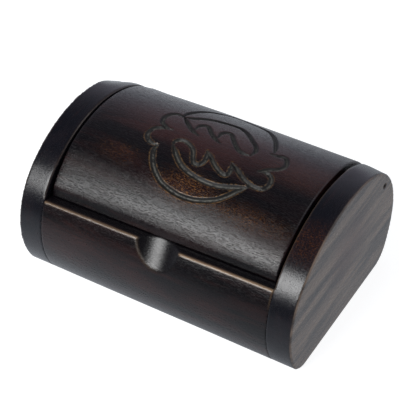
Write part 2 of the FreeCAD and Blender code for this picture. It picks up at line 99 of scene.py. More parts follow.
# The thumb notch is a round groove, whose axis passes straight over its lowest point
NOTCH_RADIUS = 18.3
NOTCH_TILT = math.radians(48)
NOTCH_YAW = math.radians(6)
NOTCH_X = 1.0
NOTCH_LOW_Z = SEAT_Z + SEAT_SLOPE * NOTCH_X - 11.8
NOTCH_LOW_Y = -SHOULDER_Y - math.sqrt(SHOULDER_RADIUS**2 - (NOTCH_LOW_Z - WIDEST_Z) ** 2)
NOTCH_AXIS = np.array([
    -math.sin(NOTCH_YAW) * math.cos(NOTCH_TILT),
    math.cos(NOTCH_YAW) * math.cos(NOTCH_TILT),
    math.sin(NOTCH_TILT),
])
NOTCH_UP = np.array([0, 0, 1]) - NOTCH_AXIS * NOTCH_AXIS[2]
NOTCH_LOW = np.array([NOTCH_X, NOTCH_LOW_Y, NOTCH_LOW_Z])
NOTCH_CENTRE = NOTCH_LOW + NOTCH_UP / np.linalg.norm(NOTCH_UP) * NOTCH_RADIUS

# Lid
LID_RISE = 1.1
LID_THICKNESS = 9.5
LID_FRONT_RADIUS = 36.0
LID_GAP = 0.3
LID_EDGE = 0.8
RIM_Y = SHOULDER_Y + math.sqrt(SHOULDER_RADIUS**2 - (SEAT_Z - WIDEST_Z) ** 2)
LID_FRONT_Y = RIM_Y - 4.8
LID_CROWN = (0.0, CROWN_Z, CROWN[2] + LID_RISE)
LID_SHOULDER = (SHOULDER_Y, WIDEST_Z, SHOULDER_RADIUS + LID_RISE)
LID_FRONT = (
    *meeting((-LID_FRONT_Y, SEAT_Z, LID_FRONT_RADIUS), (0.0, CROWN_Z, LID_CROWN[2] - LID_FRONT_RADIUS), 1),
    LID_FRONT_RADIUS,
)
# Each end of the lid: its x at y = 0, how far x goes for each millimetre of y, and the x at
# which its section is taken
LID_ENDS = {"left": (-61.9, -0.0055, -61.5), "right": (61.5, -0.010, 60.7)}
PIN_HOLE_RADIUS = 1.55
PIN_HOLE_END = 50.0

# Hand shaping: depths, runs along x, and leans of the surface in degrees from level
FLAT_DEPTH = 1.2
FLAT_RUN = (10, 63)
FLAT_FRONT_LEAN = (-62, -25)
FLAT_BACK_LEAN = (5, 30)
FULL_HEIGHT = 1.0
FULL_START = (62.5, 63)
FULL_END = (64, 78)
FULL_LEAN = (14, 34)
LOW_DEPTH = 1.8
LOW_RUN = (66, 76)
LOW_LEAN = (16, 34)
REAR_FADE = (46, 70)
SKIN_INSET = 0.08
SKIN_WANDER = 0.08
# How far the lid's left end is sunk, from where along x, and between which ways over it, s
LID_SINK = 1.2
LID_SINK_START = -8
LID_SINK_RUN = 54.0
LID_SINK_POWER = 1.5
LID_SINK_FRONT = (-52, -38)
LID_SINK_BACK = (46, 56)
# How full the lid's front is, and where over it
LID_FULLNESS = 0.7
LID_FULL_START = (-32, -47)
LID_FULL_END = (-49, -54)
# Radii that edges are eased to
RIM_EASE = 0.6
CAVITY_EASE = 0.7
CUT_EASE = 0.5
SEAM_EASE = 0.35
CHEEK_OUTER_EASE = 0.6
CHEEK_INNER_EASE = 0.8
BORE_EASE = 0.25
# Size of the cubes that the CAD pieces are meshed with before they are shaped
VOXEL = 0.75


# ---------------------------------------------------------------- small helpers


def link(obj):
    bpy.context.scene.collection.objects.link(obj)
    return obj


def add_mesh(name, vertices, faces):
    """A mesh object from points in millimetres."""
    mesh = bpy.data.meshes.new(name)
    mesh.from_pydata([tuple(v) for v in np.asarray(vertices) * MM], [], faces)
    mesh.validate()
    return link(bpy.data.objects.new(name, mesh))


def points_of(mesh):
    co = np.empty(len(mesh.vertices) * 3)
    mesh.vertices.foreach_get("co", co)
    return co.reshape(-1, 3) / MM


def set_points(mesh, points):
    mesh.vertices.foreach_set("co", (points * MM).ravel())
    mesh.update()


def add_attribute(mesh, name, values):
    layer = mesh.attributes.new(name, "FLOAT", "POINT")
    layer.data.foreach_set("value", np.asarray(values, dtype=np.float32))


def smoothstep(low, high, x):
    t = np.clip((x - low) / (high - low), 0, 1)
    return t * t * (3 - 2 * t)


def way_along(path):
    """How far along a line of points each point is."""
    return np.concatenate([[0], np.cumsum(np.hypot(*np.diff(path, axis=0).T))])


# ---------------------------------------------------------------- solid shapes as distances


def round_max(a, b, radius):
    """The meeting of two solids, with its edge rounded to a radius."""
    outside = np.hypot(np.maximum(a + radius, 0), np.maximum(b + radius, 0))
    return outside + np.minimum(np.maximum(a + radius, b + radius), 0) - radius


def disc(y, z, arc):
    return np.hypot(y - arc[0], z - arc[1]) - arc[2]


def outline(p):
    """Distance from the box's outline; below 0 is inside."""
    y = np.abs(p[:, 1])
    z = p[:, 2]
    d = np.where(z > SHOULDER[1], disc(y, z, SHOULDER), disc(y, z, SIDE))
    over = (y * (SHOULDER[1] - CROWN[1]) < (z - CROWN[1]) * SHOULDER[0]) & (z > CROWN[1])
    d = np.where(over, disc(y, z, CROWN), d)
    run = (CORNER[0] - SIDE[0], CORNER[1] - SIDE[1])
    low = (y - SIDE[0]) * run[1] - (z - SIDE[1]) * run[0] > 0
    d = np.where(low & (y > CORNER[0]), disc(y, z, CORNER), d)
    return np.where(y <= CORNER[0], np.maximum(d, -z), d)


def hand_shaping(x, lean):
    """How far the surface is dressed down by hand at x, where it leans so many degrees from level.

    The right side is flatter over the top, the right cheek a little fuller at the back, and the
    left cheek's outer edge worn lower at the back.
    """
    flat = FLAT_DEPTH * smoothstep(*FLAT_RUN, x)
    flat = flat * smoothstep(*FLAT_FRONT_LEAN, lean) * (1 - smoothstep(*FLAT_BACK_LEAN, lean))
    full = -FULL_HEIGHT * smoothstep(*FULL_START, x) * (1 - smoothstep(*FULL_END, x))
    low = LOW_DEPTH * smoothstep(*LOW_RUN, -x)
    rear = full * smoothstep(*FULL_LEAN, lean) + low * smoothstep(*LOW_LEAN, lean)
    return flat + rear * (1 - smoothstep(*REAR_FADE, lean))


def lean_of(y, z):
    return np.degrees(np.arctan2(y, z - CROWN[1]))


def wander(p, size, seed):
    """A slow unevenness of about 1, as a hand tool leaves it."""
    q = p / size + seed
    return (
        np.sin(q[:, 0] + 1.7 * np.sin(0.9 * q[:, 1] + seed))
        + np.sin(1.3 * q[:, 1] + 1.1 * np.sin(0.8 * q[:, 2] + 2 * seed))
        + np.sin(1.1 * q[:, 2] + 1.3 * np.sin(1.2 * q[:, 0]))
    ) / 3


def notch_cut(p):
    """Distance into the thumb notch's round groove; above 0 is inside the groove."""
    away = p - NOTCH_CENTRE
    away = away - np.outer(away @ NOTCH_AXIS, NOTCH_AXIS)
    return NOTCH_RADIUS - np.linalg.norm(away, axis=1)


def above_seat(p):
    return p[:, 2] - SEAT_Z - SEAT_SLOPE * p[:, 0]


def trough_shape(p):
    x, y, z = p.T
    top = np.where(y < 0, above_seat(p), z - BACK_LIP_Z)
    skin = outline(p) + SKIN_INSET + SKIN_WANDER * wander(p, size=17, seed=1)
    block = round_max(skin, top, RIM_EASE)
    side = CAVITY_HALF - CAVITY_CORNER - np.abs(y)
    under = z - CAVITY_FLOOR - CAVITY_CORNER
    room = np.hypot(np.minimum(side, 0), np.minimum(under, 0))
    hollow = CAVITY_CORNER - room - np.minimum(np.maximum(-side, -under), 0)
    d = round_max(block, hollow, CAVITY_EASE)
    d = round_max(d, -disc(y, z, COVE), CUT_EASE)
    elsewhere = -50
    d = round_max(d, np.where(y < FRONT_WALL_Y, notch_cut(p), elsewhere), CUT_EASE)
    return round_max(d, np.abs(x) - INNER_X, SEAM_EASE)


def cheek_shape(p):
    x, y, z = p.T
    skin = outline(p) + SKIN_INSET + SKIN_WANDER * wander(p, size=19, seed=2)
    d = round_max(skin + hand_shaping(x, lean_of(y, z)), np.abs(x) - OUTER_X, CHEEK_OUTER_EASE)
    beside_lid = z > SEAT_Z + 1
    d = round_max(d, INNER_X - np.abs(x), np.where(beside_lid, CHEEK_INNER_EASE, SEAM_EASE))
    bore = PIN_RADIUS - np.hypot(y - PIN_PLACE[0], z - PIN_PLACE[1])
    return round_max(d, bore, BORE_EASE)


def settle(points, shape, rounds=6):
    """Moves points on to the surface of a shape."""
    step = 0.02
    for _ in range(rounds):
        d = shape(points)
        slope = np.empty_like(points)
        for axis in range(3):
            shift = np.zeros(3)
            shift[axis] = step
            slope[:, axis] = (shape(points + shift) - shape(points - shift)) / (2 * step)
        size = np.maximum(np.sum(slope**2, axis=1), 0.25)
        points = points - slope * (d / size)[:, None]
    return points


def near_line(*distances, width):
    """1 where all the distances are nought, falling off over a width in millimetres."""
    return np.exp(-sum((d / width) ** 2 for d in distances))


def trough_wear_and_rim_highlight(p):
    """Bare wood along the rim, with a painted highlight on it there, and less bare wood round the notch's
    lower edge and at the right seam.
    """
    x, y, z = p.T
    skin = outline(p)
    # The rim's light line: painted highlight on its rounded edge, and bare wood
    rim = near_line(skin + 0.2, above_seat(p) + 0.2, width=0.44)
    notch = near_line(skin + 0.1, notch_cut(p) + 0.1, width=0.35) * (z < 50) * smoothstep(8, -4, x)
    seam = near_line(x - INNER_X, skin, width=0.35) * smoothstep(40, 49, z)
    wear_and_rim_highlight = (0.5 + 0.3 * smoothstep(-20, 20, x)) * rim + 0.12 * notch + 0.5 * seam
    return np.clip(wear_and_rim_highlight * (y < 0), 0, 1)


def trough_ledge_shade(p):
    """Painted shade on the ledge under the lid's edge."""
    _, y, z = p.T
    ledge = smoothstep(-0.9, -1.6, outline(p)) * smoothstep(48, 50, z)
    return ledge * (y < FRONT_WALL_Y)


# Inside the thumb notch: painted shade darkens it, and its finish is rougher there
def inside_notch(p):
    return smoothstep(-0.45, -0.25, notch_cut(p)) * (p[:, 2] > 36) * (p[:, 1] < FRONT_WALL_Y)


def cheek_wear(p):
    """A thin rubbed line along the edge beside the lid, and a trace of one at the outer edge."""
    x, y, z = p.T
    skin = outline(p) + hand_shaping(x, lean_of(y, z))
    inner = near_line(skin + 0.2, INNER_X - np.abs(x) + 0.2, width=0.3) * (z > SEAT_Z)
    outer = near_line(skin + 0.3, np.abs(x) - OUTER_X + 0.3, width=0.6) * (z > 2)
    return np.where(x > 0, 0.25, 0.1) * inner + 0.04 * outer


def carved_copy(name, node, shape, marks):
    """A mesh with even faces in the place of a CAD node, drawn on to a shape with eased edges."""
    rough = link(bpy.data.objects.new(name + "_rough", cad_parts[node].data.copy()))
    remesh = rough.modifiers.new("even", "REMESH")
    remesh.mode = "VOXEL"
    remesh.voxel_size = VOXEL * MM
    ready = rough.evaluated_get(bpy.context.evaluated_depsgraph_get())
    mesh = bpy.data.meshes.new_from_object(ready)
    bpy.data.objects.remove(rough)
    mesh.name = name
    mesh.materials.clear()
    points = settle(points_of(mesh), shape)
    set_points(mesh, points)
    for mark, share_of in marks.items():
        add_attribute(mesh, mark, share_of(points))
    mesh.shade_smooth()
    return link(bpy.data.objects.new(name, mesh))


# ---------------------------------------------------------------- the carved symbol

# Gouge strokes of the knot on the lid, as a carver would lay them out on its curved top: x runs
# along the lid, and s goes over its curve from the crown line to the back.
STROKES = [
    # Upper crescent, outer and inner line
    (1.0, [
        (-21.8, 14.5), (-22.3, 16.4), (-21.1, 21), (-18.9, 26.3), (-16.1, 30.9), (-12.7, 34.3),
        (-9, 37.6), (-5, 39.6), (-0.9, 39.7), (4.9, 38.4), (10, 37.1), (14.9, 34.6), (19.9, 30.1),
        (24.6, 23.7), (27.9, 17.7), (29.8, 12.5),
    ]),
    (1.0, [
        (-21.1, 14.2), (-17, 16.1), (-13, 19.2), (-8.4, 21.6), (-3.1, 23), (2, 23.7), (6.5, 23.2),
        (11.4, 20.1), (15.7, 15.9), (19.8, 12.1), (22, 8.1), (21.6, 3.9),
    ]),
    # Knobs on the left
    (1.0, [
        (-21.1, 14.4), (-24.2, 15.1), (-26.4, 14.5), (-28.3, 12.2), (-29.1, 8.2), (-28.1, 4.7),
        (-25.7, 2.8), (-23.1, 1.6), (-20.5, 1.6),
    ]),
    (1.0, [
        (-20.6, 1.8), (-24.5, 0.8), (-28, -0.9), (-29.4, -3.9), (-29.3, -7.3), (-27.3, -9.7),
        (-24.2, -11.1), (-21.3, -10.6),
    ]),
    # Knobs on the right
    (1.0, [
        (29.1, 10.5), (32, 10.8), (34.6, 11.9), (37.2, 11.2), (39.2, 6.9), (38.8, 3.7),
        (37.1, 1.4), (34.4, -0.4), (31.5, -2.9), (30.1, -4.2),
    ]),
    (1.0, [
        (30.4, -4.1), (33, -3.3), (36, -3.8), (38.2, -6), (38.9, -9.7), (37.6, -12.7),
        (34.5, -13.6), (31.3, -13.3), (26.8, -11.7), (21.9, -8.6), (17.4, -5.5),
    ]),
    # Upper fingers
    (1.0, [
        (-21.1, 14.2), (-17, 10.2), (-12.1, 6.2), (-7.1, 3.8),
    ]),
    (1.0, [
        (-11.1, 7.5), (-11.1, 10.6), (-9.4, 13.1), (-6.9, 13.2), (-2.9, 9), (1.2, 5.9), (4.6, 4.3),
    ]),
    (1.0, [
        (1.4, 7.8), (1.3, 12.2), (3.3, 14.3), (5.8, 13.8), (8.8, 10.1), (12.8, 5.8), (16.2, 3.6),
        (19.6, 3.2), (21.7, 3.8),
    ]),
    # Lower crescent, outer and inner line
    (1.1, [
        (-21.3, -10.6), (-21.4, -14.2), (-18.7, -19.7), (-14.5, -24.8), (-8, -29.2), (0.6, -31.4),
        (8.1, -31.4), (14.7, -29.7), (20.5, -26.8), (24.8, -22.4), (28.5, -17.1), (31, -14.5),
    ]),
    (1.1, [
        (-14.2, -8.1), (-10.1, -12.2), (-5, -16.6), (1.6, -19.4), (8.5, -20.6), (14.7, -20.7),
        (20.2, -19.6), (25.2, -17.6), (29.2, -15.5),
    ]),
    # Lower fingers
    (1.0, [
        (-14.2, -8.1), (-14.9, -5.4), (-13, -3.3), (-10.1, -2.9), (-6.7, -4.3), (-3.8, -6.7),
        (-1.7, -10.6), (0.5, -13.4), (3, -13.2), (4.4, -10.8), (4, -7.7), (2.2, -3.5),
    ]),
    (1.0, [
        (2.3, -3.5), (6.1, -6.7), (10.3, -10.3), (14.6, -12.9), (17.6, -13.3), (18.6, -11.4),
        (18, -8.1), (16.6, -5.1),
    ]),
]
GROOVE_WIDTH = 2.7
GROOVE_DEPTH = 1.25
# The groove's wall goes down between these shares of its half width
GROOVE_WALL = (0.1, 1.0)
# Strokes thin out over this length, to this share of their width, at both ends
STROKE_TAPER = 5.0
STROKE_TIP = 0.4
FAR_FROM_STROKES = 9.0
# The part of the lid, in x and s, that the strokes can reach
SYMBOL_X = (-36, 46)
SYMBOL_S = (-38, 46)
# The s of points that aren't on the lid's outer curve
OFF_THE_TOP = -99.0
# How many points are measured against a stroke at a time
CHUNK = 20000


def smooth_path(places, step=0.4):
    """A smooth line through places, as closely spaced points."""
    q = np.array(places, dtype=float)
    q = np.vstack([2 * q[0] - q[1], q, 2 * q[-1] - q[-2]])
    out = []
    for i in range(1, len(q) - 2):
        count = max(2, int(np.hypot(*(q[i + 1] - q[i])) / step))
        t = np.linspace(0, 1, count, endpoint=False)[:, None]
        a = 2 * q[i]
        b = q[i + 1] - q[i - 1]
        c = 2 * q[i - 1] - 5 * q[i] + 4 * q[i + 1] - q[i + 2]
        e = 3 * q[i] - q[i - 1] - 3 * q[i + 1] + q[i + 2]
        out.append((a + b * t + c * t**2 + e * t**3) / 2)
    out.append(q[-2:-1])
    return np.vstack(out)


def stroke_reach(x, s):
    """For each place on the lid, how far it is from the nearest stroke, 1 being the groove's lip."""
    reach = np.full(x.shape, FAR_FROM_STROKES)
    near = (x > SYMBOL_X[0]) & (x < SYMBOL_X[1]) & (s > SYMBOL_S[0]) & (s < SYMBOL_S[1])
    place = np.column_stack([x[near], s[near]])
    best = np.full(len(place), FAR_FROM_STROKES)
    for width, places in STROKES:
        path = smooth_path(places)
        run = way_along(path)
        body = smoothstep(0, STROKE_TAPER, np.minimum(run, run[-1] - run))
        half = width * (STROKE_TIP + (1 - STROKE_TIP) * body) * GROOVE_WIDTH / 2
        for first in range(0, len(place), CHUNK):
            part = slice(first, first + CHUNK)
            away = np.sqrt(((place[part, None, :] - path[None]) ** 2).sum(axis=2))
            best[part] = np.minimum(best[part], (away / half[None]).min(axis=1))
    reach[near] = best
    return reach


# ---------------------------------------------------------------- the lid


def arc_points(arc, start, end, count):
    """Points and outward directions along an arc, angles in degrees."""
    angle = np.radians(np.linspace(start, end, count))
    way = np.column_stack([np.cos(angle), np.sin(angle)])
    return np.array(arc[:2]) + arc[2] * way, way


def angle_at(arc, place):
    return math.degrees(math.atan2(place[1] - arc[1], place[0] - arc[0]))


def meet_level(arc, z):
    """Angle at which an arc's front side comes down to a level."""
    return 180 - math.degrees(math.asin((z - arc[1]) / arc[2]))


def thinner(arc, by=LID_THICKNESS):
    return (arc[0], arc[1], arc[2] - by)


TOP_FRONT = angle_at(LID_CROWN, LID_FRONT)
TOP_BACK = angle_at(LID_CROWN, LID_SHOULDER)
# Where the round knuckle about the hinge pin meets the lid's outer and inner curves
OUTER_KNUCKLE = meeting(KNUCKLE, LID_SHOULDER, 1)
INNER_KNUCKLE = meeting(KNUCKLE, thinner(LID_SHOULDER), 1)
# How many points the arcs have: the outer front, crown and shoulder, and the others
OUTER_STEPS = (84, 164, 30)
OUTER_COUNT = sum(OUTER_STEPS) - 2
KNUCKLE_STEPS = 20
INNER_SIDE_STEPS = 14
INNER_CROWN_STEPS = 28
LOW_STEPS = 8
EDGE_STEPS = 7


def lid_section(x):
    """The lid's section at x, as points and their outward directions, once round."""
    low = SEAT_Z + LID_GAP + SEAT_SLOPE * x
    round_z = low + LID_EDGE
    round_path = thinner(LID_FRONT, LID_EDGE)
    round_y = LID_FRONT[0] - math.sqrt(round_path[2] ** 2 - (round_z - LID_FRONT[1]) ** 2)
    front = meet_level(round_path, round_z)
    outer = [
        (LID_FRONT, front, TOP_FRONT, OUTER_STEPS[0]),
        (LID_CROWN, TOP_FRONT, TOP_BACK, OUTER_STEPS[1]),
        (LID_SHOULDER, TOP_BACK, angle_at(LID_SHOULDER, OUTER_KNUCKLE), OUTER_STEPS[2]),
        (KNUCKLE, angle_at(KNUCKLE, OUTER_KNUCKLE), angle_at(KNUCKLE, INNER_KNUCKLE), KNUCKLE_STEPS),
    ]
    inner = [
        (thinner(LID_SHOULDER), angle_at(LID_SHOULDER, INNER_KNUCKLE), TOP_BACK, INNER_SIDE_STEPS),
        (thinner(LID_CROWN), TOP_BACK, TOP_FRONT, INNER_CROWN_STEPS),
        (thinner(LID_FRONT), TOP_FRONT, meet_level(thinner(LID_FRONT), low), INNER_SIDE_STEPS),
    ]
    parts = [arc_points(*arc) for arc in outer]
    parts += [(places, -way) for places, way in (arc_points(*arc) for arc in inner)]
    inner_end = parts[-1][0][-1]
    share = np.linspace(0.1, 1, LOW_STEPS)[:, None]
    flat = inner_end + (np.array([round_y, low]) - inner_end) * share
    parts.append((flat, np.tile([0.0, -1.0], (LOW_STEPS, 1))))
    parts.append(arc_points((round_y, round_z, LID_EDGE), 270, front, EDGE_STEPS))
    # These parts leave out their first point, which is the last one of the part before
    joined = (1, 2, 4, 5, 6)
    firsts = [1 if i in joined else 0 for i in range(len(parts))]
    points = np.vstack([places[first:] for first, (places, _) in zip(firsts, parts)])
    ways = np.vstack([way[first:] for first, (_, way) in zip(firsts, parts)])
    return points[:-1], ways[:-1]


def lid_rows():
    """The rows of points along the lid: its two eased ends, and stations closer at the symbol."""
    turns = np.radians([90, 67.5, 45, 22.5, 0])
    coarse, fine = 1.5, 0.42
    stations = [np.arange(-58.5, -34, coarse), np.arange(-34, 44, fine), np.arange(44, 58, coarse)]
    left = [("left", turn) for turn in turns]
    right = [("right", turn) for turn in turns[::-1]]
    return left + [("middle", x) for x in np.concatenate(stations)] + right


def lid_row(kind, value):
    """One row of the lid's points before they are carved: x, section, outward directions."""
    if kind == "middle":
        section, way = lid_section(value)
        return np.full(len(section), value), section, way
    place, lean, section_x = LID_ENDS[kind]
    section, way = lid_section(section_x)
    section = section - way * (LID_EDGE * (1 - math.cos(value)))
    inward = 1 if kind == "left" else -1
    return place + lean * section[:, 0] + inward * LID_EDGE * (1 - math.sin(value)), section, way


def way_over(section):
    """The way over the lid's outer curve from the crown line, s, for each point of a section."""
    outer = section[:OUTER_COUNT]
    run = way_along(outer)
    crown_line = OUTER_STEPS[0] + int(np.argmin(np.abs(outer[OUTER_STEPS[0] : -OUTER_STEPS[2], 0])))
    s = np.full(len(section), OFF_THE_TOP)
    s[:OUTER_COUNT] = run - run[crown_line] + outer[crown_line, 0]
    return s


def lid_fall(x, s, way, reach):
    """How deep the lid's surface lies: sunk at the left end, full at the front, shaped and carved."""
    sunk = LID_SINK * np.clip((LID_SINK_START - x) / LID_SINK_RUN, 0, 1) ** LID_SINK_POWER
    sunk = sunk * smoothstep(*LID_SINK_FRONT, s) * (1 - smoothstep(*LID_SINK_BACK, s))
    full = -LID_FULLNESS * (smoothstep(*LID_FULL_START, s) - smoothstep(*LID_FULL_END, s))
    lean = np.degrees(np.arctan2(way[:, 0], way[:, 1]))
    fall = sunk + full + hand_shaping(x, lean)
    fall[OUTER_COUNT:] = 0
    return fall + GROOVE_DEPTH * (1 - smoothstep(*GROOVE_WALL, reach))


def build_lid():
    points = []
    reach = []
    rows = lid_rows()
    for kind, value in rows:
        x, section, way = lid_row(kind, value)
        s = way_over(section)
        near = stroke_reach(x, s) if kind == "middle" else np.full(len(section), FAR_FROM_STROKES)
        section = section - way * lid_fall(x, s, way, near)[:, None]
        points.append(np.column_stack([x, section]))
        reach.append(near)
    count = len(points[0])
    points = np.vstack(points)
    reach = np.concatenate(reach)
    faces = []
    for i in range(len(rows) - 1):
        for k in range(count):
            n = (k + 1) % count
            faces.append((i * count + k, i * count + n, (i + 1) * count + n, (i + 1) * count + k))
    lid = add_mesh("lid_board", points, faces)
    y = points[:, 1]
    add_attribute(lid.data, "groove", 1 - smoothstep(0.85, 1.05, reach))
    # The grooves' floors are paler at the front than at the back, and their lips rubbed at the front only
    scraped = 1 - 0.35 * smoothstep(0, 20, y)
    add_attribute(lid.data, "floor", scraped * (1 - smoothstep(0.1, 0.55, reach)))
    rubbed = 1 - smoothstep(-12, 4, y)
    add_attribute(lid.data, "lip", rubbed * near_line(reach - 1.05, width=0.13))
    close_lid_ends(lid.data, count, len(rows))
    lid.data.shade_smooth()
    return lid


def close_lid_ends(mesh, count, row_count):
    """Puts the lid's end faces on, each with the bore that the hinge pin turns in."""
    sides = 24
    b = bmesh.new()
    b.from_mesh(mesh)
    for first, (place, lean, _), bore_end in (
        (0, LID_ENDS["left"], -PIN_HOLE_END),
        ((row_count - 1) * count, LID_ENDS["right"], PIN_HOLE_END),
    ):
        b.verts.ensure_lookup_table()
        rim = [b.verts[first + k] for k in range(count)]
        edges = [b.edges.get((rim[k], rim[(k + 1) % count])) for k in range(count)]
        mouth = []
        deep = []
        for k in range(sides):
            turn = 2 * math.pi * k / sides
            y = PIN_PLACE[0] + PIN_HOLE_RADIUS * math.cos(turn)
            z = PIN_PLACE[1] + PIN_HOLE_RADIUS * math.sin(turn)
            mouth.append(b.verts.new((MM * (place + lean * y), MM * y, MM * z)))
            deep.append(b.verts.new((MM * bore_end, MM * y, MM * z)))
        ring = [b.edges.new((mouth[k], mouth[(k + 1) % sides])) for k in range(sides)]
        for k in range(sides):
            n = (k + 1) % sides
            b.faces.new((mouth[k], mouth[n], deep[n], deep[k]))
        b.faces.new(deep)
        cap = bmesh.ops.triangle_fill(b, use_beauty=True, use_dissolve=False, edges=edges + ring)
        for item in cap["geom"]:
            if isinstance(item, bmesh.types.BMFace):
                item.smooth = False
        for edge in edges + ring:
            edge.smooth = False
    bmesh.ops.recalc_face_normals(b, faces=b.faces)
    bmesh.ops.remove_doubles(b, verts=b.verts[:], dist=0.001 * MM)
    b.to_mesh(mesh)
    b.free()


# ---------------------------------------------------------------- materials


def colour(red, green, blue):
    """A colour as seen on a screen, 0 to 255, turned into the renderer's own scale."""
    share = [c / 255 for c in (red, green, blue)]
    return [c / 12.92 if c <= 0.04045 else ((c + 0.055) / 1.055) ** 2.4 for c in share] + [1.0]


# Black of the stain, also used for painted shade on the ledge, in the notch and in bands on the lid
BLACK_STAIN_AND_SHADE = colour(8, 6, 9)
DARK_STAIN = colour(27, 13, 14)
BLUE_BLACK = colour(12, 13, 20)
BLUE_GREY = colour(20, 18, 24)
BROWN_WOOD = colour(66, 31, 26)
RED_WOOD = colour(84, 40, 28)
AMBER_WOOD = colour(106, 60, 22)
ORANGE_WOOD = colour(146, 98, 48)
GOLDEN_WOOD = colour(140, 104, 58)
BARE_WOOD_AND_HIGHLIGHT = colour(150, 124, 98)
END_DARK = colour(40, 36, 37)
END_PALE = colour(114, 98, 86)
CARVED_WOOD = colour(88, 87, 80)
PAINTED_GROOVE_SHADE = colour(12, 12, 13)
STEEL_BRIGHT = colour(120, 118, 116)
STEEL_DULL = colour(78, 72, 68)


class Nodes:
    """Short names for building a node tree. Shares run from 0 to 1."""

    def __init__(self, tree):
        self.tree = tree
        self.coordinates = self.new("TexCoord").outputs
        self.place = self.coordinates["Object"]

    def new(self, kind, **inputs):
        node = self.tree.nodes.new("ShaderNode" + kind)
        for name, value in inputs.items():
            self.put(node.inputs[name], value)
        return node

    def put(self, socket, value):
        if isinstance(value, bpy.types.NodeSocket):
            self.tree.links.new(value, socket)
        else:
            socket.default_value = value

    def math(self, operation, a, b=0.0):
        node = self.new("Math")
        node.operation = operation
        self.put(node.inputs[0], a)
        self.put(node.inputs[1], b)
        return node.outputs[0]

    def product(self, first, *others):
        for other in others:
            first = self.math("MULTIPLY", first, other)
        return first

    def vector(self, operation, a, b=None):
        node = self.new("VectorMath")
        node.operation = operation
        self.put(node.inputs[0], a)
        if b is not None:
            self.put(node.inputs[1], b)
        return node.outputs

    def ease(self, value, source, result=(0.0, 1.0)):
        """Goes from one result to the other as a value goes over its source range, eased at both ends."""
        node = self.new("MapRange", Value=value)
        node.interpolation_type = "SMOOTHSTEP"
        node.inputs["From Min"].default_value, node.inputs["From Max"].default_value = source
        node.inputs["To Min"].default_value, node.inputs["To Max"].default_value = result
        return node.outputs[0]

    def split(self, vector):
        return self.new("SeparateXYZ", Vector=vector).outputs

    def stretch(self, scale, turn=(0, 0, 0), shift=(0, 0, 0)):
        return self.new("Mapping", Vector=self.place, Scale=scale, Rotation=turn, Location=shift).outputs[0]

    def noise(self, vector, scale, detail=3.0, roughness=0.5, distortion=0.0):
        node = self.new("TexNoise", Vector=vector, Scale=scale, Detail=detail)
        node.inputs["Roughness"].default_value = roughness
        node.inputs["Distortion"].default_value = distortion
        return node.outputs[0]

    def mix(self, share, a, b):
        node = self.new("Mix")
        node.data_type = "RGBA"
        self.put(node.inputs["Factor"], share)
        self.put(node.inputs["A"], a)
        self.put(node.inputs["B"], b)
        return node.outputs["Result"]

    def attribute(self, name):
        """A share held by the mesh's points, or 0 where the mesh has none of that name."""
        node = self.new("Attribute")
        node.attribute_name = name
        return node.outputs["Fac"]

    def near(self, centre, size):
        """1 at a place on the object, falling to 0 at the given half sizes, in millimetres."""
        away = self.vector("SUBTRACT", self.place, [MM * c for c in centre])["Vector"]
        scaled = self.vector("DIVIDE", away, [MM * c for c in size])["Vector"]
        return self.ease(self.vector("LENGTH", scaled)["Value"], (1.0, 0.2))

    def bump(self, height, distance, strength=1.0, before=None):
        node = self.new("Bump", Height=height, Distance=distance * MM, Strength=strength)
        if before is not None:
            self.put(node.inputs["Normal"], before)
        return node.outputs[0]

    def by_ray(self, kind, matching, others):
        """One shader for a kind of ray and another for the others."""
        node = self.new("MixShader")
        self.put(node.inputs[0], self.new("LightPath").outputs[kind])
        self.put(node.inputs[1], others)
        self.put(node.inputs[2], matching)
        return node.outputs[0]


# The finish's roughness: its least, and what streaks, the notch and the grooves add to it
ROUGH_LEAST = 0.165
ROUGH_STREAKS = 0.09
ROUGH_NOTCH = 0.06
ROUGH_GROOVES = 0.3
# Share of the open pores that are filled inside the notch
NOTCH_FILLED = 0.6
PORE_DARKNESS = 0.7
LIP_GOLD = 0.8
# The browner middle of the right cheek's outer face: centre, half sizes, share of brown
RIGHT_END_PATCH = ((76, 4, 42), (12, 30, 26), 0.45)


def new_material(name):
    """A material, its nodes and its shader."""
    material = bpy.data.materials.new(name)
    material.use_nodes = True
    return material, Nodes(material.node_tree), material.node_tree.nodes["Principled BSDF"]


def lengthwise(along, share):
    """The scale that draws a pattern out along one axis."""
    return {"x": (share, 1, 1), "y": (1, share, 1)}[along]


def over_end_faces(n, base):
    """The cheeks' outer faces, which have taken the stain in uneven bands."""
    end = n.ease(n.math("ABSOLUTE", n.split(n.place)["X"]), ((OUTER_X - 0.8) * MM, (OUTER_X - 0.3) * MM))
    across = n.stretch((1, 0.10, 1), turn=(0.1, 0, 0))
    bands = n.noise(across, scale=150, detail=5, roughness=0.66, distortion=0.5)
    face = n.mix(n.ease(bands, (0.34, 0.66)), END_DARK, END_PALE)
    centre, size, browned = RIGHT_END_PATCH
    face = n.mix(n.product(n.near(centre, size), browned), face, BROWN_WOOD)
    return n.mix(end, base, face)


def over_carving(n, base):
    """The knot's grooves, with painted shade on their walls and scraped pale on their floors, with golden
    wood along their lips.
    """
    dull = n.noise(n.place, scale=700, detail=3, roughness=0.6)
    rubbed = n.product(n.attribute("lip"), n.ease(dull, (0.38, 0.6)), LIP_GOLD)
    base = n.mix(rubbed, base, GOLDEN_WOOD)
    scraped = n.product(n.attribute("floor"), n.ease(dull, (0.64, 0.42)))
    return n.mix(n.attribute("groove"), base, n.mix(scraped, PAINTED_GROOVE_SHADE, CARVED_WOOD))


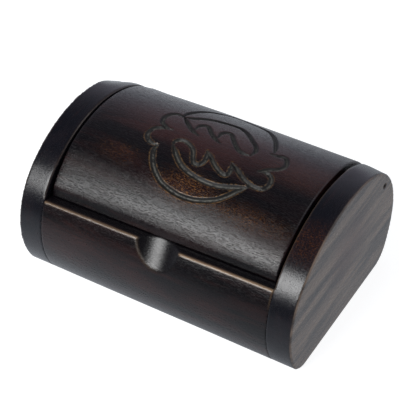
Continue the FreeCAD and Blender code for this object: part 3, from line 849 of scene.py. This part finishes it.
def stained_wood(
    name,
    along="x",
    patches=(),
    painted_shades=(),
    fleck=ORANGE_WOOD,
    open_pores=0.24,
    stain=(BLACK_STAIN_AND_SHADE, DARK_STAIN),
    brown=0.25,
    carved=False,
):
    """Dark stained wood with a satin finish, its grain running along one axis."""
    material, n, shader = new_material(name)
    grain = n.stretch(lengthwise(along, 0.13), shift=(0.37, 0.11, 0.23))
    fine = n.stretch(lengthwise(along, 0.06), shift=(0.05, 0.4, 0.2))
    brush = n.stretch(lengthwise(along, 0.15), shift=(0.3, 0.2, 0.1))
    broad = n.noise(grain, scale=90, detail=3, roughness=0.55, distortion=0.6)
    streak = n.noise(grain, scale=420, detail=4, roughness=0.6, distortion=0.3)
    pores = n.noise(fine, scale=1500, detail=2, roughness=0.6)
    mottle = n.noise(n.stretch((0.5, 1, 1)), scale=2300, detail=3, roughness=0.7)
    brushed = n.noise(brush, scale=2500, detail=4, roughness=0.7)
    notch = n.attribute("notch")

    base = n.mix(n.ease(broad, (0.42, 0.61)), *stain)
    base = n.mix(n.product(n.ease(streak, (0.5, 0.8)), brown), base, BROWN_WOOD)
    for centre, size, browned, flecked in patches:
        warm = n.near(centre, size)
        base = n.mix(n.product(warm, browned), base, BROWN_WOOD)
        if flecked:
            base = n.mix(n.product(warm, n.ease(mottle, (0.52, 0.64)), flecked), base, fleck)
    # Painted shade, darkening bands of the wood
    for centre, size, darkened in painted_shades:
        base = n.mix(n.product(n.near(centre, size), darkened), base, BLACK_STAIN_AND_SHADE)
    base = n.mix(n.product(n.ease(pores, (0.54, 0.70)), PORE_DARKNESS), base, BLACK_STAIN_AND_SHADE)
    # Painted shade on the ledge under the lid's edge and inside the thumb notch
    base = n.mix(n.math("MAXIMUM", n.attribute("dark"), notch), base, BLACK_STAIN_AND_SHADE)
    if along == "y":
        base = over_end_faces(n, base)
    if carved:
        base = over_carving(n, base)
    else:
        # Bare wood at worn edges; along the trough's rim this is painted highlight as well
        base = n.mix(n.attribute("wear_and_rim_highlight"), base, BARE_WOOD_AND_HIGHLIGHT)

    rough = n.math("ADD", n.product(streak, ROUGH_STREAKS), ROUGH_LEAST)
    unfilled = n.math("SUBTRACT", 1.0, n.product(notch, NOTCH_FILLED))
    rough = n.math("ADD", rough, n.product(n.ease(brushed, (0.48, 0.63)), unfilled, open_pores))
    rough = n.math("ADD", rough, n.product(notch, ROUGH_NOTCH))
    if carved:
        rough = n.math("ADD", rough, n.product(n.attribute("groove"), ROUGH_GROOVES))

    n.put(shader.inputs["Base Color"], base)
    n.put(shader.inputs["Roughness"], rough)
    shader.inputs["Specular IOR Level"].default_value = 0.5
    streaked = n.bump(streak, 0.08, 0.6)
    n.put(shader.inputs["Normal"], n.bump(brushed, 0.55 * open_pores, before=streaked))
    return material


def steel(name):
    """Dull bare steel, a little uneven."""
    material, n, shader = new_material(name)
    cloud = n.noise(n.place, scale=900, detail=3, roughness=0.6)
    n.put(shader.inputs["Base Color"], n.mix(n.ease(cloud, (0.45, 0.7)), STEEL_BRIGHT, STEEL_DULL))
    shader.inputs["Metallic"].default_value = 1.0
    n.put(shader.inputs["Roughness"], n.math("ADD", n.product(cloud, 0.3), 0.25))
    n.put(shader.inputs["Normal"], n.bump(cloud, 0.02, 0.5))
    return material


# ---------------------------------------------------------------- the pieces

lid = build_lid()
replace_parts(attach(lid, "lid"), "lid")
trough_marks = {"wear_and_rim_highlight": trough_wear_and_rim_highlight, "dark": trough_ledge_shade, "notch": inside_notch}
trough = carved_copy("trough_block", "trough", trough_shape, trough_marks)
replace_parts(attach(trough, "box"), "trough")
cheeks = []
for side in ("left", "right"):
    cheek = carved_copy(side + "_cheek_slab", side + "_cheek", cheek_shape, {"wear_and_rim_highlight": cheek_wear})
    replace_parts(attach(cheek, "box"), side + "_cheek")
    cheeks.append(cheek)

# Places where the stain is worn: centre, half sizes, share of brown and share of flecks
LID_PATCHES = [
    ((-6, 8, 76), (66, 26, 9), 0.5, 0),
    ((52, 4, 76), (30, 16, 9), 0.3, 0.1),
    ((-36, -20, 70), (20, 10, 9), 0.05, 0.2),
    ((4, -24, 68), (24, 14, 10), 0.2, 0.68),
    ((36, -27, 66), (36, 9, 10), 0.12, 0.42),
]
TROUGH_PATCHES = [
    ((-30, -54, 38), (46, 14, 12), 0.1, 0.18),
    ((-6, -56, 26), (30, 10, 8), 0.15, 0.2),
    ((-50, -56, 24), (24, 10, 9), 0.15, 0.2),
    ((30, -56, 30), (22, 10, 9), 0.1, 0.1),
]
CHEEK_PATCHES = [((69, -28, 67), (14, 18, 14), 0.1, 0.5)]
# Painted shade in bands across the lid: centre, half sizes and share of black
LID_PAINTED_SHADES = [
    ((-34, -11, 75), (44, 7, 9), 0.8),
    ((52, -14, 72), (26, 12, 10), 0.8),
    ((2, -37, 60), (80, 6, 8), 0.6),
]

lid.data.materials.append(stained_wood("lid_wood", "x", LID_PATCHES, LID_PAINTED_SHADES, carved=True))
trough.data.materials.append(
    stained_wood("trough_wood", "x", TROUGH_PATCHES, fleck=RED_WOOD, open_pores=0.12)
)
for cheek in cheeks:
    cheek.data.materials.append(stained_wood(
        "cheek_wood_" + cheek.name,
        "y",
        CHEEK_PATCHES,
        fleck=AMBER_WOOD,
        open_pores=0.1,
        stain=(BLUE_BLACK, BLUE_GREY),
        brown=0.12,
    ))
pin_steel = steel("pin_steel")
for node in ("left_hinge_pin", "right_hinge_pin"):
    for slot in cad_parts[node].material_slots:
        slot.material = pin_steel

# ---------------------------------------------------------------- floor, light and camera

FLOOR_HALF = 3000.0
# In metres: the point that the lamps face
LAMP_AIM = Vector((0, 0, 0.04))
# The camera's direction and roll in degrees, and its distance and offsets in millimetres
CAMERA_AZIMUTH = 31.43
CAMERA_ELEVATION = 42.06
CAMERA_ROLL = -0.822
CAMERA_DISTANCE = 755.585
CAMERA_ASIDE = -4.015
CAMERA_RAISED = 30.043
SENSOR_WIDTH = 36.0
LENS = 132.821
LENS_SHIFT = 0.00125


def world_light():
    """White behind the box for the camera, a soft bluish light on it, and a darker room in reflections."""
    world = bpy.data.worlds.new("studio")
    bpy.context.scene.world = world
    world.use_nodes = True
    world.node_tree.nodes.clear()
    n = Nodes(world.node_tree)
    way = n.split(n.coordinates["Generated"])
    height = n.ease(way["Z"], (0.0, 0.92), (0.62, 0.08))
    back = n.ease(way["Y"], (-0.6, 0.3), (0.15, 1.0))
    seen = n.new("Background", Color=(1, 1, 1, 1), Strength=1.0)
    soft = n.new("Background", Color=(0.88, 0.93, 1.0, 1), Strength=0.45)
    mirrored = n.new("Background", Color=(0.86, 0.84, 1.0, 1), Strength=n.product(height, back))
    light = n.by_ray("Is Glossy Ray", mirrored.outputs[0], soft.outputs[0])
    n.new("OutputWorld", Surface=n.by_ray("Is Camera Ray", seen.outputs[0], light))


def floor_plane():
    """A pale table, whose white falls off in reflections towards the dark room in front of it.

    The places that it falls off between are in metres.
    """
    half = FLOOR_HALF
    corners = [(-half, -half, 0), (half, -half, 0), (half, half, 0), (-half, half, 0)]
    floor = add_mesh("floor", corners, [(0, 1, 2, 3)])
    material = bpy.data.materials.new("pale_floor")
    material.use_nodes = True
    material.node_tree.nodes.clear()
    n = Nodes(material.node_tree)
    place = n.split(n.place)
    away = n.ease(place["Y"], (-0.34, -0.03), (0.03, 0.62))
    across = n.ease(place["X"], (-0.12, 0.05), (1.25, 0.8))
    seen = n.new("AddShader")
    n.put(seen.inputs[0], n.new("BsdfDiffuse", Color=(0.42, 0.42, 0.43, 1)).outputs[0])
    n.put(seen.inputs[1], n.new("Emission", Strength=0.82).outputs[0])
    plain = n.new("BsdfDiffuse", Color=(0.8, 0.8, 0.8, 1))
    mirrored = n.new("Emission", Color=(0.87, 0.92, 1.0, 1), Strength=n.product(away, across))
    surface = n.by_ray("Is Glossy Ray", mirrored.outputs[0], plain.outputs[0])
    n.new("OutputMaterial", Surface=n.by_ray("Is Camera Ray", seen.outputs[0], surface))
    floor.data.materials.append(material)


def area_light(name, way, distance, width, height, power):
    """A soft box facing the object from a direction. Its sizes are in metres, its power in watts."""
    lamp = bpy.data.lights.new(name, "AREA")
    lamp.shape = "RECTANGLE"
    lamp.size = width
    lamp.size_y = height
    lamp.energy = power
    obj = link(bpy.data.objects.new(name, lamp))
    way = Vector(way).normalized()
    obj.location = LAMP_AIM + way * distance
    obj.rotation_euler = way.to_track_quat("Z", "Y").to_euler()


def add_camera():
    """A camera with the photograph's direction, roll and distance from the object."""
    azimuth, elevation, roll = (math.radians(a) for a in (CAMERA_AZIMUTH, CAMERA_ELEVATION, CAMERA_ROLL))
    level = Vector((math.sin(azimuth), -math.cos(azimuth), 0))
    back = level * math.cos(elevation) + Vector((0, 0, math.sin(elevation)))
    right = Vector((math.cos(azimuth), math.sin(azimuth), 0))
    up = back.cross(right)
    turned_right = right * math.cos(roll) + up * math.sin(roll)
    turned_up = up * math.cos(roll) - right * math.sin(roll)
    place = back * CAMERA_DISTANCE + turned_right * CAMERA_ASIDE + turned_up * CAMERA_RAISED
    data = bpy.data.cameras.new("camera")
    data.sensor_width = SENSOR_WIDTH
    data.lens = LENS
    data.shift_x = -LENS_SHIFT
    data.shift_y = LENS_SHIFT
    data.clip_start = 0.01
    camera = link(bpy.data.objects.new("camera", data))
    turn = Matrix((turned_right, turned_up, back)).transposed().to_4x4()
    camera.matrix_world = Matrix.Translation(place * MM) @ turn
    bpy.context.scene.camera = camera


world_light()
floor_plane()
area_light("front_softbox", (-0.25, -0.77, 0.54), distance=1.0, width=0.54, height=0.44, power=7.8)
area_light("top_softbox", (0.6, 0.4, 1.0), distance=1.3, width=0.8, height=0.8, power=2.2)
add_camera()
bpy.context.scene.view_settings.view_transform = "Standard"
